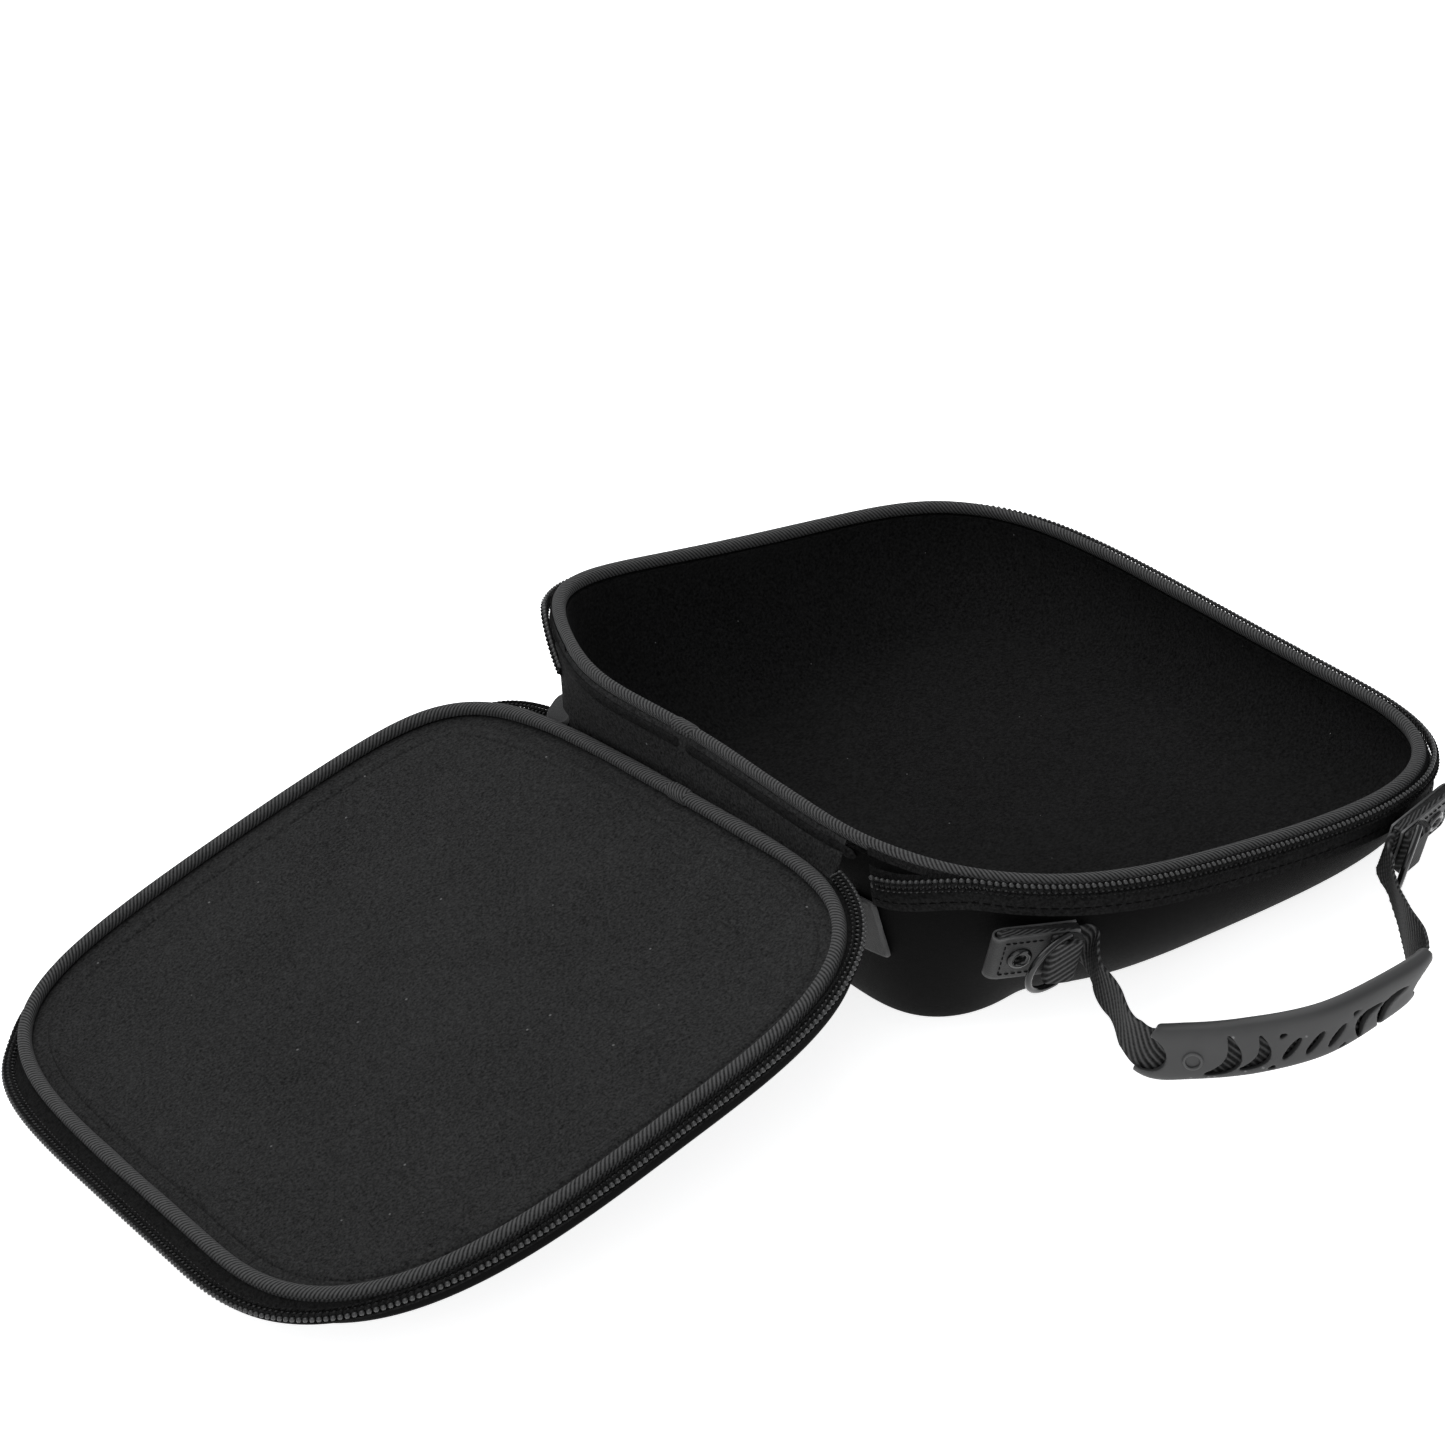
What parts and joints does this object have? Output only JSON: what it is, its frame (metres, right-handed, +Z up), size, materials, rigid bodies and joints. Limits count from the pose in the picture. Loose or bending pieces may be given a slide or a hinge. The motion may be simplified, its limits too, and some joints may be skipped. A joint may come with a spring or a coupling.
{
  "type": "baseball cap carrier case",
  "caption": "Moulded cap case lying open: a deep base tray, a hinged lid, a zipper round both rims and a carrying handle on two rings.",
  "frame": {"origin": "centre of the base's flat underside, on the surface that it rests on", "axes": "+Z up, +X from the hinge side to the base's far side, -Y the front with the handle, so the open lid lies at -X"},
  "size_m": [0.4959, 0.3827, 0.0925],
  "materials": {
    "shell_cloth": "woven cloth over moulded foam",
    "lining_cloth": "brushed lining cloth",
    "binding_cloth": "ribbed binding tape",
    "zipper_tape": "woven tape",
    "zipper_coil": "satin nylon coil",
    "leatherette": "grained, matt",
    "webbing": "twill webbing",
    "grip_rubber": "moulded, satin",
    "ring_metal": "gloss black"
  },
  "bodies": {
    "root": {"base_shell": "shell_cloth", "base_binding": "binding_cloth", "base_zipper_tape": "zipper_tape", "base_zipper_coil": "zipper_coil", "lid_shell": "lining_cloth", "lid_binding": "binding_cloth", "lid_zipper_tape": "zipper_tape", "lid_zipper_coil": "zipper_coil", "hinge_strip": "shell_cloth", "hinge_tab_front": "leatherette", "hinge_tab_back": "leatherette", "handle_strap": "webbing", "handle_grip": "grip_rubber", "anchor_left": "leatherette", "anchor_rivet_left": "ring_metal", "ring_loop_left": "webbing", "ring_left": "ring_metal", "anchor_right": "leatherette", "anchor_rivet_right": "ring_metal", "ring_loop_right": "webbing", "ring_right": "ring_metal"}
  },
  "joints": []
}
